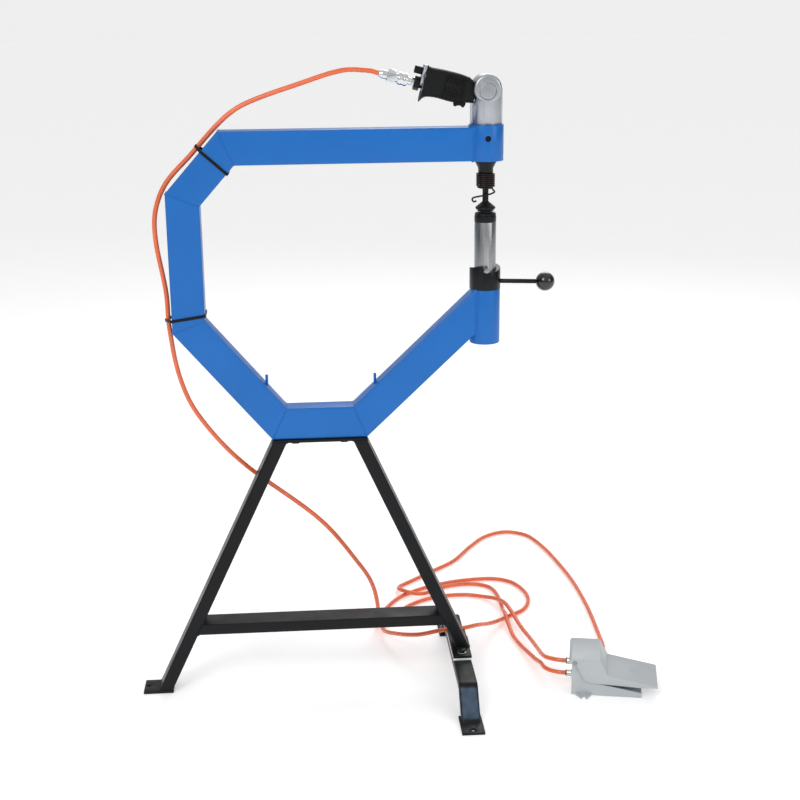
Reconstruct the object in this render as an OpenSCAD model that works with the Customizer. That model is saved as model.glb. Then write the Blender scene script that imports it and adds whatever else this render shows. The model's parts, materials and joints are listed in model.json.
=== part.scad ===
// Pneumatic planishing hammer on a floor stand, with a foot valve and its hoses.
// Millimetres. X runs from the rear column to the hammer, Y away from the front
// of the machine, Z up. The origin is midway between the two anchor holes of the
// front foot bar, on the floor.

/* [Frame] */
// Clear depth from the rear column to the hammer axis
throat = 470; // [380:5:570]
// Height of the stand, from the floor to the underside of the frame
stand_h = 468; // [390:1:565]
// Height of the frame, from its underside to the top of the beam
frame_h = 521; // [500:1:630]
// Width of the frame tube, seen from the front
tube_w = 55; // [46:1:66]
// Depth of the frame tube, front to back
tube_d = 40; // [34:1:46]
// Wall of the frame tube
tube_wall = 3; // [2:0.5:5]

/* [Hammer and anvil] */
// Diameter of the air hammer's barrel, which the upper holder grips
barrel_d = 47; // [40:1:56]
// Wall of the upper holder
holder_wall = 5.4; // [4:0.1:10]
// Bore of the hammer's cylinder and diameter of its piston
piston_d = 19; // [16:1:21]
// Shank of the upper die
shank_d = 10.2; // [8:0.1:12]
// Gap between the two dies at rest
die_gap = 1.7; // [0.8:0.1:6]
// Diameter of the anvil post
post_d = 36; // [30:1:43]
// Wall of the anvil socket
socket_wall = 7.5; // [5:0.5:12]
// Height of the anvil socket
socket_h = 93; // [80:1:110]
// Rise of the cam collar's ramp
cam_rise = 12; // [6:0.5:14]
// Diameter of the ball on the cam handle
ball_d = 32; // [26:1:40]

/* [Stand] */
// Width of a leg tube, seen from the front
leg_w = 22; // [18:1:27]
// Depth of a leg tube, front to back
leg_d = 46; // [38:1:50]
// Spacing of the two anchor holes of the front foot bar
anchor_span = 414; // [380:2:496]
// Width of the front foot bar
foot_w = 33; // [28:1:40]
// Height of the front foot bar
foot_h = 56; // [48:1:66]

/* [Air] */
// Outer diameter of the hoses
hose_d = 8; // [6:1:10]

/* [Hidden] */
$fn = 64;

// Clearances
run_gap = 0.06;   // radial, between a turning or sliding pair
seat_gap = 0.3;   // between pieces of different moving groups that rest on each other
weld_gap = 0.02;  // at a coped joint

// Frame outline: one tube width inside this path lies the throat
axis_x = 42;
beam_top = stand_h + frame_h;
beam_z = beam_top - tube_w;
upper_run = 90;       // slope of the upper rear corner, along X
upper_drop = 99;      // and down
knee_rise = 190;      // height of the column's foot above the rail
rear_slope = 50;      // lower rear brace above the horizontal
front_slope = 43.5;   // front brace above the horizontal
holder_rise = 3;      // the holder stands this far above the beam
barrel_r = barrel_d / 2;
holder_r = barrel_r + run_gap + holder_wall;
post_r = post_d / 2;
socket_r = post_r + run_gap + socket_wall;
socket_z = stand_h + 159;
socket_top = socket_z + socket_h;
rail_z = stand_h;
column_x = axis_x - throat - tube_w;
rail_left = column_x + knee_rise / tan(rear_slope);
brace_foot_z = socket_top - 7 - tube_w / cos(front_slope);
rail_right = axis_x - socket_r - (brace_foot_z - rail_z) / tan(front_slope);
path = [[axis_x, beam_top], [column_x + upper_run - 1, beam_top], [column_x, beam_top - upper_drop],
    [column_x, rail_z + knee_rise], [rail_left, rail_z], [rail_right, rail_z],
    [axis_x, rail_z + (axis_x - rail_right) * tan(front_slope)]];
last_corner = len(path) - 1;

// Hammer heights, all hung from the underside of the holder
hammer_z = beam_z;
barrel_z = hammer_z + 2;
head_z = hammer_z + 116;
nose_z = hammer_z - 29;
cylinder_top = hammer_z + 76;
valve_top = cylinder_top + 16;
nose_r = 12.5;
liner_r = 18;
piston_r = piston_d / 2;
shank_r = shank_d / 2;
piston_len = 40;
bore_floor = hammer_z + 1;
die_lift = 8;         // how far the cam raises the anvil
shank_top = hammer_z + 2;
piston_z = shank_top + die_lift + seat_gap + 1;
face_z = hammer_z - 83.6;
plug_r = 13.5;

// Handle: its own frame has S along the grip away from the head and T up across it
handle_tilt = 15;
bushing_t = -11;
knob_t = 10;
trigger_s = 39;
grip_end = 105;
plate_t = 5;
bushing_end = grip_end + plate_t + 9;
nipple_end = bushing_end + 11;
coupler_end = nipple_end + 33;
nut_end = coupler_end + 15;
trigger_pull = 3;
throttle_r = 2.5;

// Anvil
cam_wall = 8;
cam_r = post_r + cam_wall;
cam_z = socket_top + seat_gap;
cam_low = cam_z + 28.4;
cam_top = cam_low + cam_rise;
cam_ramp = 156;       // degrees of rise in each half turn
cam_step = 164.5;     // where the drop to the next notch stands
pin_r = 4.5;
pin_len = post_d + 14;
cam_slope = atan(cam_rise / (cam_ramp * PI / 180 * post_r));
pin_z = cam_low + pin_r / cos(cam_slope) + seat_gap;
die_h = 16.1;
die_bottom = face_z - die_gap - die_h;
spigot_r = 8;
spigot_len = 20;
post_z = socket_z + 18;
rod_r = 3.75;
rod_z = cam_z + 12;
rod_turn = -10;
rod_reach = cam_r + 75;
ball_r = ball_d / 2;

// Stand
leg_wall = 2;
plate_h = 5;
plate_d = 46;
leg_top = stand_h - plate_h;
rear_plate_h = 4;
rear_leg_run = 219;
pad_h = 4;
leg_foot_z = foot_h + 4 + plate_h;
rear_foot_x = rail_left - rear_leg_run;
front_foot_x = foot_w / 2 - 0.4;
bar_z = 110;
bar_h = 20;
foot_bolt_y = 41;
plate_margin = 14;     // from a foot bolt to the plate's end
bolt_r = 4;
bolt_gap = 0.5;
web = 4;
lip = 14;
flat_y = anchor_span / 2 - 67;
slope_y = anchor_span / 2 - 21;
anchor_r = 4.5;
rear_anchor_r = 3.5;
frame_bolt_r = 5;

// Pedal: its own frame has S from the pivot end to the tip and M away from the front
pedal_x = 185.7;
pedal_y = -95.2;
pedal_turn = -12;
cover_w = 86;
cover_wall = 3;
base_w = 79;
base_m = (cover_w - base_w) / 2;
base_wall = 3;
base_floor = 4;
pivot_s = 8.5;
pivot_z = 62;
pivot_r = 2.5;
port_m = 30;
port_upper = 52;
port_lower = 28;
side_port_s = 40;
side_port_z = 13;
spool_s = 36;
spool_m = 43;
spool_r = 3;
valve_s = 7;
valve_len = 38;
valve_near = 20;
valve_far = 66;
valve_z = 58;
port_len = 15;
port_thread = 7;
spring_s = 98;
spring_r = 7;
spring_wire = 1.6;
spring_top = 31;
supply_r = 6.6;
supply_m = 53;
supply_z = 34;

// Hoses: rounded points that the centre line runs through
hose_r = hose_d / 2;
hose_sides = 8;
main_points = [[-132.7, 0, 1075.8], [-148, 0, 1079.9], [-190, 0, 1081], [-260, 0, 1061],
    [-350, 0, 1030], [-387, 0, 1005], [-440, 0, 950], [-482, 0, 905], [-501, 0, 860],
    [-503, 0, 812], [-491, 0, 725], [-489, 0, 665], [-478, 18, 575], [-452, 28, 505],
    [-383, 34, 416], [-245, 60, 289], [-172, 105, 177], [-150, 130, 128], [-139, 155, 72],
    [-138, 176, 34], [-138, 196, 11], [-134, 230, 4.2], [-110, 297, 4.2], [-72, 350, 4.2],
    [7, 397, 4.2], [105, 415, 4.2], [151, 397, 4.2], [174, 350, 4.2], [177, 300, 4.2],
    [160, 256, 4.2], [124, 224, 4.6], [82, 163, 22], [44, 96, 51], [14, 66, 60.6],
    [-24, 61, 60.6], [-70, 68, 50], [-116, 134, 24], [-128, 175, 12], [-121, 218, 4.6],
    [-94, 262, 4.2], [-60, 303, 4.2], [-10, 332, 4.2], [50, 338, 4.2], [90, 320, 6],
    [111, 292, 13], [123, 260, 18], [131, 226, 15], [140, 165, 11], [147, 92, 20],
    [149.5, 19, 34], [149.6, -8, 40], [150.9, -28.4, 45], [152.8, -38.1, 47.5],
    [159, -49.8, 50.3], [168.8, -58.6, 51.8], [177.2, -62.5, 52], [183.76, -64.13, 52]];
loop_points = [[183.76, -64.13, 28], [177.2, -62.5, 28], [168.8, -58.6, 27.8],
    [159, -49.8, 26.8], [152.8, -38.1, 25.2], [150.9, -28.4, 23.8], [149, -8, 21],
    [143, 20, 15.5], [123, 125, 5], [118, 180, 10], [116, 212, 18], [116.5, 235, 12],
    [118, 262, 5.5], [119, 300, 4.2], [110, 364, 4.2], [85, 387, 4.2], [45, 391, 4.2],
    [5, 376, 5], [-28, 348, 7], [-49.8, 340.2, 10], [-66.8, 344.8, 12.8], [-79.2, 357.2, 12],
    [-83.8, 374.2, 8], [-79.2, 391.2, 5], [-70, 402, 4.3], [-47, 424, 4.2], [-10, 460, 4.2],
    [46, 515, 4.2], [96, 598, 4.2], [140, 655, 4.2], [192, 674, 4.2], [238, 635, 4.2],
    [278, 450, 4.2], [290, 285, 4.2], [286, 110, 4.2], [282, 68, 4.6], [266, 36, 8],
    [249, 10, 12.5], [245.17, -7.76, 13]];

// Corner i of the frame outline, moved a distance d into the throat
function heading(i) = (path[i + 1] - path[i]) / norm(path[i + 1] - path[i]);
function inward(i) = [-heading(i)[1], heading(i)[0]];
function corner(i, d) =
    i == 0 ? path[0] - [0, d] :
    i == last_corner ? path[i] + [0, d / cos(front_slope)] :
    path[i] + d * (inward(i - 1) + inward(i)) / (1 + inward(i - 1) * inward(i));

// A flat outline in the XZ plane, given a depth along Y
module upright(depth) {
    rotate([90, 0, 0]) linear_extrude(depth, center = true) children();
}

// Stretch i of the frame: a mitred rectangular tube from corner i to the next
module frame_tube(i) {
    reach = heading(i) * tube_w;
    far = tube_w - tube_wall;
    difference() {
        upright(tube_d)
            polygon([corner(i, 0), corner(i + 1, 0), corner(i + 1, tube_w), corner(i, tube_w)]);
        upright(tube_d - 2 * tube_wall)
            polygon([corner(i, tube_wall) - reach, corner(i + 1, tube_wall) + reach,
                corner(i + 1, far) + reach, corner(i, far) - reach]);
    }
}

// A straight tube of the stand between two lower and two upper corners
module leg_tube(outer_low, inner_low, inner_high, outer_high) {
    run = (outer_high - outer_low) / norm(outer_high - outer_low);
    side = inner_low[0] > outer_low[0] ? [run[1], -run[0]] : [-run[1], run[0]];
    near = side * leg_wall;
    far = side * (leg_w - leg_wall);
    difference() {
        upright(leg_d) polygon([outer_low, inner_low, inner_high, outer_high]);
        upright(leg_d - 2 * leg_wall)
            polygon([outer_low + near - run * 40, outer_low + far - run * 40,
                outer_high + far + run * 40, outer_high + near + run * 40]);
    }
}

module on_axis(z = 0) {
    translate([axis_x, 0, z]) children();
}

// Places children in the handle's frame: local X is S, local Z is T
module on_handle(s = 0, t = 0) {
    translate([axis_x, 0, head_z - 10])
        rotate([0, handle_tilt, 0])
            mirror([1, 0, 0])
                translate([s, 0, t]) children();
}

// A rod along S, from one end to the other
module along_s(s0, s1, r, t = 0, sides = 48) {
    on_handle(s0, t) rotate([0, 90, 0]) cylinder(r = r, h = s1 - s0, $fn = sides);
}

module on_pedal(s = 0, m = 0, z = 0) {
    translate([pedal_x, pedal_y, 0])
        rotate([0, 0, pedal_turn])
            translate([s, m, z]) children();
}

// An outline in the pedal's SZ plane, given a width along M from m0
module pedal_slab(m0, width) {
    on_pedal(0, m0 + width, 0) rotate([90, 0, 0]) linear_extrude(width) children();
}

// Frame -------------------------------------------------------------------------

module upper_holder() {
    color("#2170ba")
    difference() {
        on_axis(beam_z) cylinder(r = holder_r, h = tube_w + holder_rise);
        on_axis(beam_z - 1) cylinder(r = barrel_r + run_gap, h = tube_w + holder_rise + 2);
        on_axis(beam_z + 37) rotate([90, 0, 0]) cylinder(r = 5, h = holder_r + 2);
    }
}

module top_beam() {
    color("#2170ba")
    difference() {
        frame_tube(0);
        on_axis(beam_z - 1) cylinder(r = holder_r + weld_gap, h = tube_w + 2);
    }
}

module upper_rear_brace() {
    color("#2170ba") frame_tube(1);
}

module rear_column() {
    color("#2170ba") frame_tube(2);
}

module lower_rear_brace() {
    color("#2170ba") frame_tube(3);
}

module base_rail() {
    color("#2170ba")
    difference() {
        frame_tube(4);
        frame_bolt_places(rail_z - 1) cylinder(r = frame_bolt_r + bolt_gap, h = tube_wall + 2);
    }
}

module front_brace() {
    color("#2170ba")
    difference() {
        frame_tube(5);
        on_axis(socket_z - tube_w) cylinder(r = socket_r + weld_gap, h = 4 * tube_w);
        on_axis(socket_top) cylinder(r = 3 * socket_r, h = 2 * tube_w);
    }
}

module anvil_socket() {
    color("#2170ba")
    difference() {
        on_axis(socket_z) cylinder(r = socket_r, h = socket_h);
        on_axis(socket_z - 1) cylinder(r = post_r + run_gap, h = socket_h + 2);
    }
}

// Two short upright pins on the braces that hold spare dies
module die_pegs() {
    peg_r = 2.5;
    peg_h = 21;
    rear_run = 50;
    front_run = 52;
    rear = corner(4, tube_w) + rear_run * [-cos(rear_slope), sin(rear_slope)];
    front = corner(5, tube_w) + front_run * [cos(front_slope), sin(front_slope)];
    color("#2170ba")
    difference() {
        for (foot = [rear, front])
            translate([foot[0], 0, foot[1] - peg_r * 1.3]) cylinder(r = peg_r, h = peg_h, $fn = 32);
        upright(tube_d)
            polygon([corner(3, 0), corner(4, 0), corner(4, tube_w), corner(3, tube_w)]);
        upright(tube_d)
            polygon([corner(5, 0), corner(6, 0), corner(6, tube_w), corner(5, tube_w)]);
    }
}

// Stand -------------------------------------------------------------------------

module frame_bolt_places(z) {
    for (side = [-1, 1])
        translate([(rail_left + rail_right) / 2 + side * 42, 0, z]) children();
}

module stand_top_plate() {
    color("#18191b")
    difference() {
        translate([rail_left, -plate_d / 2, leg_top])
            cube([rail_right - rail_left, plate_d, plate_h]);
        frame_bolt_places(leg_top - 1) cylinder(r = frame_bolt_r + bolt_gap, h = plate_h + 2);
    }
}

// Length of a leg's slanted cut along X, for a leg that covers run over rise
function leg_cut(run, rise) = leg_w * norm([run, rise]) / rise;

rear_cut = leg_cut(rear_leg_run, leg_top - rear_plate_h);
front_run = front_foot_x - rail_right;
front_cut = leg_cut(front_run, leg_top - leg_foot_z);

// X of a leg's inner face at height z
function rear_inner(z) = rail_left + rear_cut
    - rear_leg_run * (leg_top - z) / (leg_top - rear_plate_h);
function front_inner(z) = rail_right - front_cut + front_run * (leg_top - z) / (leg_top - leg_foot_z);

module rear_leg() {
    color("#18191b")
        leg_tube([rear_foot_x, rear_plate_h], [rear_foot_x + rear_cut, rear_plate_h],
            [rail_left + rear_cut, leg_top], [rail_left, leg_top]);
}

module front_leg() {
    color("#18191b")
        leg_tube([front_foot_x, leg_foot_z], [front_foot_x - front_cut, leg_foot_z],
            [rail_right - front_cut, leg_top], [rail_right, leg_top]);
}

module crossbar() {
    low = bar_z;
    high = bar_z + bar_h;
    color("#18191b")
    difference() {
        upright(leg_d)
            polygon([[rear_inner(low), low], [front_inner(low), low],
                [front_inner(high), high], [rear_inner(high), high]]);
        translate([rear_inner(low) - 20, leg_wall - leg_d / 2, low + leg_wall])
            cube([front_inner(low) - rear_inner(low) + 40, leg_d - 2 * leg_wall, bar_h - 2 * leg_wall]);
    }
}

module rear_foot_plate() {
    back = 27;
    front = 26;
    color("#18191b")
    difference() {
        translate([rear_foot_x - back, -plate_d / 2, 0])
            cube([back + front, plate_d, rear_plate_h]);
        translate([rear_foot_x - back + 7, 0, -1])
            cylinder(r = rear_anchor_r, h = rear_plate_h + 2, $fn = 32);
    }
}

module foot_bolt_places(z) {
    for (side = [-1, 1])
        translate([0, side * foot_bolt_y, z]) children();
}

module bolted_plate(z, h) {
    difference() {
        translate([-foot_w / 2, -foot_bolt_y - plate_margin, z])
            cube([foot_w, 2 * (foot_bolt_y + plate_margin), h]);
        foot_bolt_places(z - 1) cylinder(r = bolt_r + bolt_gap, h = h + 2, $fn = 32);
    }
}

module front_leg_plate() {
    color("#18191b") bolted_plate(foot_h + 4, plate_h);
}

module leg_shim() {
    color("#e8e9ea") bolted_plate(foot_h, 4);
}

// Half of the foot bar's front outline, at depth d under its top face
function bar_edge(d) =
    let (turn = atan((foot_h - pad_h) / (slope_y - flat_y)))
    [[slope_y - d / sin(turn), pad_h], [flat_y - d * tan(turn / 2), foot_h - d]];

module bar_outline(d) {
    top = bar_edge(0);
    low = bar_edge(d);
    polygon([[-top[0][0], top[0][1]], [-top[1][0], top[1][1]], top[1], top[0],
        low[0], low[1], [-low[1][0], low[1][1]], [-low[0][0], low[0][1]]]);
}

module front_foot_bar() {
    lip_t = 3;
    color("#18191b")
    difference() {
        union() {
            rotate([90, 0, 90]) linear_extrude(foot_w, center = true) bar_outline(web);
            for (side = [-1, 1])
                translate([side * (foot_w - lip_t) / 2, 0, 0])
                    rotate([90, 0, 90]) linear_extrude(lip_t, center = true) bar_outline(lip);
        }
        foot_bolt_places(foot_h - web - 1) cylinder(r = bolt_r + bolt_gap, h = web + 2, $fn = 32);
    }
}

module foot_pads() {
    pad_w = foot_w + 6;
    color("#18191b")
    for (side = [-1, 1])
        difference() {
            translate([-pad_w / 2, side * (anchor_span / 2 - 19) - 30, 0]) cube([pad_w, 60, pad_h]);
            translate([0, side * anchor_span / 2, -1]) cylinder(r = anchor_r, h = pad_h + 2, $fn = 32);
        }
}

module hex_bolt(r, head_h, len) {
    cylinder(r = r * 1.85, h = head_h, $fn = 6);
    translate([0, 0, -len]) cylinder(r = r, h = len, $fn = 32);
}

module foot_bolts() {
    color("#3a3d40")
        foot_bolt_places(leg_foot_z + 1.6) hex_bolt(bolt_r, 5.3, 33);
}

module foot_washers() {
    color("#c9ccd0")
    foot_bolt_places(leg_foot_z)
        difference() {
            cylinder(r = bolt_r * 2, h = 1.6, $fn = 48);
            translate([0, 0, -1]) cylinder(r = bolt_r + 0.2, h = 4, $fn = 32);
        }
}

module foot_nuts() {
    nut_h = 6.5;
    color("#c9ccd0")
    foot_bolt_places(foot_h - web - nut_h)
        difference() {
            cylinder(r = bolt_r * 1.85, h = nut_h, $fn = 6);
            translate([0, 0, -1]) cylinder(r = bolt_r + 0.02, h = nut_h + 2, $fn = 32);
        }
}

// Bolts from below, each with its nut on the rail's inner face
module frame_bolts() {
    nut_h = 8;
    color("#3a3d40") {
        frame_bolt_places(leg_top)
            mirror([0, 0, 1]) hex_bolt(frame_bolt_r, 6.4, plate_h + tube_wall + nut_h + 2);
        frame_bolt_places(rail_z + tube_wall)
            difference() {
                cylinder(r = frame_bolt_r * 1.85, h = nut_h, $fn = 6);
                translate([0, 0, -1]) cylinder(r = frame_bolt_r + 0.02, h = nut_h + 2, $fn = 32);
            }
    }
}

// Hammer ------------------------------------------------------------------------

core_low = [[8, -15], [16, -15], [51, -21], [77, -20.5], [grip_end, -20.5]];
core_high = [[grip_end, 15.5], [70, 16.5], [41, 16], [25, 11.5], [8, 7]];

module core_outline() {
    polygon(concat(core_low, core_high));
}

module handle_core(depth) {
    on_handle() rotate([90, 0, 0]) linear_extrude(depth, center = true) core_outline();
}

module head_round() {
    edge = 5;
    half = barrel_r;
    r = barrel_r - 0.5;
    on_axis(head_z) rotate([90, 0, 0])
        rotate_extrude($fn = 96)
            polygon(concat([[0, -half]],
                [for (a = [-90:15:0]) [r - edge + edge * cos(a), edge - half + edge * sin(a)]],
                [for (a = [0:15:90]) [r - edge + edge * cos(a), half - edge + edge * sin(a)]],
                [[0, half]]));
}

module housing_rib(side) {
    rib_w = 10;
    translate([axis_x + side * (barrel_r - 1), -rib_w / 2, beam_top + holder_rise + seat_gap])
        cube([3.5, rib_w, head_z - beam_top - holder_rise - seat_gap]);
}

module rear_rib() {
    translate([-3.5, 0, 0]) housing_rib(-1);
}

module hammer_housing() {
    color("#b9bdc2")
    difference() {
        union() {
            on_axis(barrel_z) cylinder(r = barrel_r, h = head_z - barrel_z, $fn = 96);
            head_round();
            handle_core(23);
            housing_rib(1);
            rear_rib();
            on_axis(head_z - 4) rotate([90, 0, 0]) cylinder(r = plug_r + 1.6, h = barrel_r + 0.8);
        }
        on_axis(barrel_z - 1) cylinder(r = liner_r + 0.05, h = valve_top - barrel_z + 1.05);
        on_axis(head_z - 4) rotate([90, 0, 0]) translate([0, 0, barrel_r - 7])
            cylinder(r = plug_r + 0.05, h = 12);
        along_s(20, grip_end + 1, 4, bushing_t);
        along_s(grip_end - 12, grip_end + 1, 6.6, bushing_t);
        along_s(grip_end - 15, grip_end + 1, 3 + run_gap, knob_t);
        on_handle(trigger_s, -14.5) cylinder(r = 5, h = 18);
        on_handle(trigger_s, -24) cylinder(r = throttle_r + run_gap, h = 16);
        trigger_room();
    }
}

// The steel cylinder that the piston runs in, with the threaded nose below
module hammer_cylinder() {
    color("#1c1d1f")
    difference() {
        on_axis() rotate_extrude()
            polygon([[0, nose_z], [nose_r, nose_z], [nose_r, hammer_z - 13], [liner_r, hammer_z - 2],
                [liner_r, cylinder_top], [0, cylinder_top]]);
        on_axis(bore_floor) cylinder(r = piston_r + run_gap, h = cylinder_top - bore_floor + 1);
        on_axis(nose_z - 1) cylinder(r = shank_r + run_gap, h = bore_floor - nose_z + 2);
        for (a = [0, 180])
            on_axis(hammer_z + 9) rotate([90, 0, a]) translate([0, 0, piston_r - 1])
                cylinder(r = 1.5, h = liner_r, $fn = 24);
    }
}

module piston() {
    color("#8b9096")
    on_axis(piston_z) rotate_extrude()
        polygon([[0, 0], [piston_r - 3, 0], [piston_r - 1, 4], [piston_r, 6], [piston_r, piston_len - 1],
            [piston_r - 1, piston_len], [0, piston_len]]);
}

module valve_block() {
    color("#8b9096")
    difference() {
        on_axis(cylinder_top) cylinder(r = liner_r, h = valve_top - cylinder_top);
        on_axis(cylinder_top - 1) cylinder(r = 4, h = valve_top - cylinder_top + 2);
    }
}

module head_plug() {
    color("#a9adb2")
    on_axis(head_z - 4) rotate([90, 0, 0])
        translate([0, 0, barrel_r - 7])
            rotate_extrude()
                polygon([[0, 0], [plug_r, 0], [plug_r, 6.6], [plug_r - 1, 7.6], [0, 7.6]]);
}

// One cross-section of the rubber grip at S, from t_low to t_high
module grip_slice(s, t_low, t_high, half) {
    corner_r = min(9, half - 1);
    on_handle(s, 0) rotate([0, 90, 0]) rotate([0, 0, 180]) linear_extrude(0.4)
        for (t = [t_low + corner_r, t_high - corner_r])
            for (y = [corner_r - half, half - corner_r])
                translate([t, y]) circle(r = corner_r, $fn = 20);
}

grip_low = [[20, -19.5], [33, -22], [52, -26], [77, -25.3], [97, -28.5], [grip_end - 0.4, -38.9]];
grip_high = [13.5, 18.5, 21, 20.8, 19, 21.8];
grip_half = [15, 17, 17.5, 17.5, 17.5, 19.5];

module grip_sleeve() {
    color("#1d1f21")
    difference() {
        union()
            for (i = [0:len(grip_low) - 2])
                hull() {
                    grip_slice(grip_low[i][0], grip_low[i][1], grip_high[i], grip_half[i]);
                    grip_slice(grip_low[i + 1][0], grip_low[i + 1][1], grip_high[i + 1], grip_half[i + 1]);
                }
        handle_core(23.1);
        trigger_room();
        on_axis(barrel_z) cylinder(r = barrel_r + 0.1, h = head_z - barrel_z);
        head_round();
        rear_rib();
    }
}

// Room for the trigger and its travel, open at the underside of the grip
module trigger_room() {
    on_handle(trigger_s - 10, -40) translate([0, -5.3, 0]) cube([20, 10.6, 40 - 19 + trigger_pull + seat_gap]);
}

module trigger() {
    color("#2b2d30")
    on_handle(trigger_s, 0) rotate([90, 0, 0])
        linear_extrude(10, center = true)
            polygon([[-9.7, -19], [-9.7, -25], [-8, -29.5], [-6, -30], [-4, -28.5], [0, -28],
                [3.5, -29.5], [6, -31.5], [8, -31], [9.7, -26.5], [9.7, -19]]);
}

module throttle_valve() {
    color("#b08d3c")
    on_handle(trigger_s, -19 + 0.02)
        union() {
            cylinder(r = throttle_r, h = 6.5, $fn = 32);
            translate([0, 0, 5]) cylinder(r = 4.4, h = 5, $fn = 32);
        }
}

module handle_end_plate() {
    color("#c3c6ca")
    difference() {
        on_handle(grip_end, 4.5) rotate([0, 90, 0])
            linear_extrude(plate_t)
                for (t = [-9, 9])
                    for (y = [-7, 7])
                        hull() {
                            translate([t, y]) circle(r = 8, $fn = 32);
                            circle(r = 8, $fn = 32);
                        }
        along_s(grip_end - 1, grip_end + plate_t + 1, 3 + run_gap, knob_t);
        along_s(grip_end - 1, grip_end + plate_t + 1, 6.55, bushing_t);
    }
}

module regulator_knob() {
    knob_s = grip_end + plate_t + seat_gap;
    color("#17181a") {
        along_s(grip_end - 13, knob_s + 2, 3, knob_t);
        difference() {
            along_s(knob_s, knob_s + 13, 6, knob_t);
            for (a = [0:30:330])
                on_handle(knob_s + 3, knob_t) rotate([a, 0, 0]) translate([0, 6.3, 0])
                    rotate([0, 90, 0]) cylinder(r = 0.7, h = 12, $fn = 16);
        }
    }
}

module inlet_bushing() {
    color("#1b1c1e")
    difference() {
        union() {
            along_s(grip_end - 11, grip_end + plate_t, 6.5, bushing_t);
            along_s(grip_end + plate_t, bushing_end, 11.5, bushing_t, 6);
        }
        along_s(grip_end - 12, bushing_end + 1, 4, bushing_t);
    }
}

module coupler_nipple() {
    color("#cfd2d5")
    difference() {
        union() {
            along_s(bushing_end - 8, bushing_end, 3.98, bushing_t);
            along_s(bushing_end, bushing_end + 5, 8.5, bushing_t, 6);
            along_s(bushing_end + 5, nipple_end, 6.5, bushing_t);
            along_s(nipple_end, nipple_end + 12, 5.5, bushing_t);
        }
        along_s(bushing_end - 9, nipple_end + 13, 2.5, bushing_t);
    }
}

module coupler_body() {
    color("#c4c8cc")
    difference() {
        union() {
            along_s(nipple_end, nipple_end + 21, 8, bushing_t);
            along_s(nipple_end + 20, coupler_end, 12, bushing_t, 6);
            along_s(coupler_end, coupler_end + 9, 4.2, bushing_t);
        }
        along_s(nipple_end - 1, nipple_end + 14, 5.55, bushing_t);
        along_s(nipple_end, coupler_end + 10, 2.5, bushing_t);
    }
}

module coupler_sleeve() {
    start = nipple_end + 1;
    color("#d4d7da")
    difference() {
        union() {
            along_s(start, start + 15, 10.6, bushing_t);
            along_s(start + 2, start + 5, 11.5, bushing_t);
            along_s(start + 10, start + 13, 11.5, bushing_t);
        }
        along_s(start - 1, start + 16, 8 + run_gap, bushing_t);
    }
}

module hose_nut() {
    color("#b4b8bc")
    difference() {
        on_handle(coupler_end, bushing_t) rotate([0, 90, 0]) rotate_extrude()
            polygon([[0, 0], [7.75, 0], [7.75, 9], [5.5, nut_end - coupler_end], [0, nut_end - coupler_end]]);
        along_s(coupler_end - 1, coupler_end + 10, 4.25, bushing_t);
    }
}

// Retainer: close coils on the nose, the last one drawn in under the die's shoulder,
// then a tail that crosses in front of the shank and ends in a hook
retainer_wire = 1.5;
retainer_turns = 7.5;
retainer_steps = 14;

function retainer_coil() = [for (i = [0:retainer_turns * retainer_steps])
    let (turn = i / retainer_steps, a = 360 * turn + 180, drawn = max(0, turn - 6.5) * 3.2, r = 14.5 - drawn)
    [r * cos(a), r * sin(a), hammer_z - 21.5 - 3.2 * turn]];

function retainer_tail() = [for (p = [[13, 5, -49.5], [14.6, -3, -52], [8, -8.2, -54.6], [-4, -9, -57],
    [-20, -8.2, -60], [-23, -8, -63.5], [-20.5, -7.6, -67], [-16, -7.4, -65.8]])
    [p[0], p[1], hammer_z + p[2]]];

module retainer_spring() {
    color("#1f2022")
    on_axis() wire_tube(concat(retainer_coil(), retainer_tail()), retainer_wire, 6);
}

module upper_die() {
    shoulder_r = 8.5;
    waist_z = hammer_z - 67.5;
    rim_z = hammer_z - 78.2;
    rim_r = 17;
    color("#2a2c2e")
    on_axis() rotate_extrude()
        polygon([[0, face_z], [12.5, face_z], [rim_r - 1.2, face_z + 3.2], [rim_r, rim_z],
            [rim_r - 0.8, rim_z + 1.4], [shank_r, waist_z], [shank_r, hammer_z - 45],
            [shoulder_r, hammer_z - 45], [shoulder_r, hammer_z - 41], [shank_r, hammer_z - 41],
            [shank_r, shank_top - 0.8], [shank_r - 0.8, shank_top], [0, shank_top]]);
}

module holder_screw() {
    color("#1b1c1e")
    difference() {
        on_axis(beam_z + 37) rotate([90, 0, 0]) translate([0, 0, barrel_r])
            cylinder(r = 4.98, h = holder_wall - 1, $fn = 48);
        on_axis(beam_z + 37) rotate([90, 0, 0]) translate([0, 0, barrel_r + 1.4])
            cylinder(r = 2.9, h = holder_wall, $fn = 6);
    }
}

// Anvil -------------------------------------------------------------------------

module anvil_post() {
    color("#a7abaf")
    difference() {
        on_axis(post_z) cylinder(r = post_r, h = die_bottom - post_z);
        on_axis(die_bottom - spigot_len - 1) cylinder(r = spigot_r + 0.05, h = spigot_len + 2);
        on_axis(pin_z) rotate([90, 0, 0]) cylinder(r = pin_r + 0.02, h = post_d + 4, center = true);
    }
}

module cross_pin() {
    color("#b7babd")
        on_axis(pin_z) rotate([90, 0, 0]) cylinder(r = pin_r, h = pin_len, center = true, $fn = 48);
}

module lower_die() {
    neck = 1.2;
    lip_r = post_r + 0.2;
    color("#232527")
    on_axis(die_bottom) rotate_extrude()
        polygon([[0, -spigot_len], [spigot_r, -spigot_len], [spigot_r, 0], [lip_r, 0], [lip_r, die_h - 6],
            [lip_r - neck, die_h - 5.4], [lip_r - neck, die_h - 4.6], [lip_r - 0.2, die_h - 4],
            [lip_r - 0.8, die_h - 2.2], [lip_r - 2.6, die_h - 0.5], [lip_r - 5, die_h], [0, die_h]]);
}

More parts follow.
